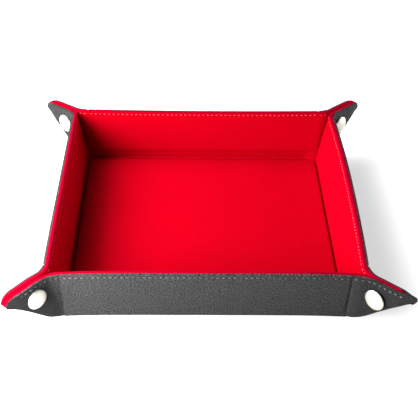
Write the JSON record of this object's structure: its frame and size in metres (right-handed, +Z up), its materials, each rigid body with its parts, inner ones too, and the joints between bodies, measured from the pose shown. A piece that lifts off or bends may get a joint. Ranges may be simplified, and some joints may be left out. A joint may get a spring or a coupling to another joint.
{
  "type": "folding dice tray",
  "caption": "Square tray of leathercloth over board, lined with velvet, whose walls fold flat when the press studs that pinch its corners are undone.",
  "frame": {"origin": "centre of the underside, on the surface that the tray stands on", "axes": "+Z up, out of the tray's mouth; -Y towards the front wall, +X towards the right wall"},
  "size_m": [0.23, 0.23, 0.0389],
  "materials": {
    "leathercloth": "satin",
    "velvet": "matte",
    "greyboard": "matte",
    "snap_cap": "satin",
    "snap_inner": "satin",
    "spring_wire": "satin"
  },
  "bodies": {
    "base": {"base_cover": "leathercloth", "base_board": "greyboard", "base_lining": "velvet"},
    "front_wall": {"front_wall_cover": "leathercloth", "front_wall_board": "greyboard", "front_wall_lining": "velvet"},
    "front_wall_left_ear": {"front_wall_left_ear_cover": "leathercloth", "front_wall_left_ear_lining": "velvet", "front_left_snap_socket_cap": "snap_cap", "front_left_snap_socket": "snap_inner", "front_left_snap_spring": "spring_wire"},
    "front_wall_right_ear": {"front_wall_right_ear_cover": "leathercloth", "front_wall_right_ear_lining": "velvet", "front_right_snap_socket_cap": "snap_cap", "front_right_snap_socket": "snap_inner", "front_right_snap_spring": "spring_wire"},
    "back_wall": {"back_wall_cover": "leathercloth", "back_wall_board": "greyboard", "back_wall_lining": "velvet"},
    "back_wall_right_ear": {"back_wall_right_ear_cover": "leathercloth", "back_wall_right_ear_lining": "velvet", "back_right_snap_socket_cap": "snap_cap", "back_right_snap_socket": "snap_inner", "back_right_snap_spring": "spring_wire"},
    "back_wall_left_ear": {"back_wall_left_ear_cover": "leathercloth", "back_wall_left_ear_lining": "velvet", "back_left_snap_socket_cap": "snap_cap", "back_left_snap_socket": "snap_inner", "back_left_snap_spring": "spring_wire"},
    "left_wall": {"left_wall_cover": "leathercloth", "left_wall_board": "greyboard", "left_wall_lining": "velvet"},
    "left_wall_back_ear": {"left_wall_back_ear_cover": "leathercloth", "left_wall_back_ear_lining": "velvet", "back_left_snap_stud_cap": "snap_cap", "back_left_snap_stud": "snap_inner"},
    "left_wall_front_ear": {"left_wall_front_ear_cover": "leathercloth", "left_wall_front_ear_lining": "velvet", "front_left_snap_stud_cap": "snap_cap", "front_left_snap_stud": "snap_inner"},
    "right_wall": {"right_wall_cover": "leathercloth", "right_wall_board": "greyboard", "right_wall_lining": "velvet"},
    "right_wall_front_ear": {"right_wall_front_ear_cover": "leathercloth", "right_wall_front_ear_lining": "velvet", "front_right_snap_stud_cap": "snap_cap", "front_right_snap_stud": "snap_inner"},
    "right_wall_back_ear": {"right_wall_back_ear_cover": "leathercloth", "right_wall_back_ear_lining": "velvet", "back_right_snap_stud_cap": "snap_cap", "back_right_snap_stud": "snap_inner"}
  },
  "joints": [
    {"name": "front_fold", "type": "hinge", "parent": "base", "child": "front_wall", "pos_m": [0, -0.086, 0], "axis": [1, 0, 0], "range_deg": [0, 71]},
    {"name": "front_left_tuck", "type": "hinge", "parent": "front_wall", "child": "front_wall_left_ear", "pos_m": [-0.08236, -0.08307, 0.00062], "axis": [0.2036, 0.2036, -0.9577], "range_deg": [0, 42.1]},
    {"name": "front_right_tuck", "type": "hinge", "parent": "front_wall", "child": "front_wall_right_ear", "pos_m": [0.08236, -0.08307, 0.00062], "axis": [0.2036, -0.2036, 0.9577], "range_deg": [0, 42.1]},
    {"name": "back_fold", "type": "hinge", "parent": "base", "child": "back_wall", "pos_m": [0, 0.086, 0], "axis": [-1, 0, 0], "range_deg": [0, 71]},
    {"name": "back_right_tuck", "type": "hinge", "parent": "back_wall", "child": "back_wall_right_ear", "pos_m": [0.08236, 0.08307, 0.00062], "axis": [-0.2036, -0.2036, -0.9577], "range_deg": [0, 42.1]},
    {"name": "back_left_tuck", "type": "hinge", "parent": "back_wall", "child": "back_wall_left_ear", "pos_m": [-0.08236, 0.08307, 0.00062], "axis": [-0.2036, 0.2036, 0.9577], "range_deg": [0, 42.1]},
    {"name": "left_fold", "type": "hinge", "parent": "base", "child": "left_wall", "pos_m": [-0.086, 0, 0], "axis": [0, -1, 0], "range_deg": [0, 71]},
    {"name": "left_back_tuck", "type": "hinge", "parent": "left_wall", "child": "left_wall_back_ear", "pos_m": [-0.08307, 0.08236, 0.00062], "axis": [0.2036, -0.2036, -0.9577], "range_deg": [0, 42.1]},
    {"name": "left_front_tuck", "type": "hinge", "parent": "left_wall", "child": "left_wall_front_ear", "pos_m": [-0.08307, -0.08236, 0.00062], "axis": [-0.2036, -0.2036, 0.9577], "range_deg": [0, 42.1]},
    {"name": "right_fold", "type": "hinge", "parent": "base", "child": "right_wall", "pos_m": [0.086, 0, 0], "axis": [0, 1, 0], "range_deg": [0, 71]},
    {"name": "right_front_tuck", "type": "hinge", "parent": "right_wall", "child": "right_wall_front_ear", "pos_m": [0.08307, -0.08236, 0.00062], "axis": [-0.2036, 0.2036, -0.9577], "range_deg": [0, 42.1]},
    {"name": "right_back_tuck", "type": "hinge", "parent": "right_wall", "child": "right_wall_back_ear", "pos_m": [0.08307, 0.08236, 0.00062], "axis": [0.2036, 0.2036, 0.9577], "range_deg": [0, 42.1]}
  ],
  "couplings": [
    {"joint": "front_left_tuck", "follows": "front_fold", "ratio": 0.5928},
    {"joint": "front_right_tuck", "follows": "front_fold", "ratio": 0.5928},
    {"joint": "back_fold", "follows": "front_fold", "ratio": 1},
    {"joint": "back_right_tuck", "follows": "front_fold", "ratio": 0.5928},
    {"joint": "back_left_tuck", "follows": "front_fold", "ratio": 0.5928},
    {"joint": "left_fold", "follows": "front_fold", "ratio": 1},
    {"joint": "left_back_tuck", "follows": "front_fold", "ratio": 0.5928},
    {"joint": "left_front_tuck", "follows": "front_fold", "ratio": 0.5928},
    {"joint": "right_fold", "follows": "front_fold", "ratio": 1},
    {"joint": "right_front_tuck", "follows": "front_fold", "ratio": 0.5928},
    {"joint": "right_back_tuck", "follows": "front_fold", "ratio": 0.5928}
  ]
}
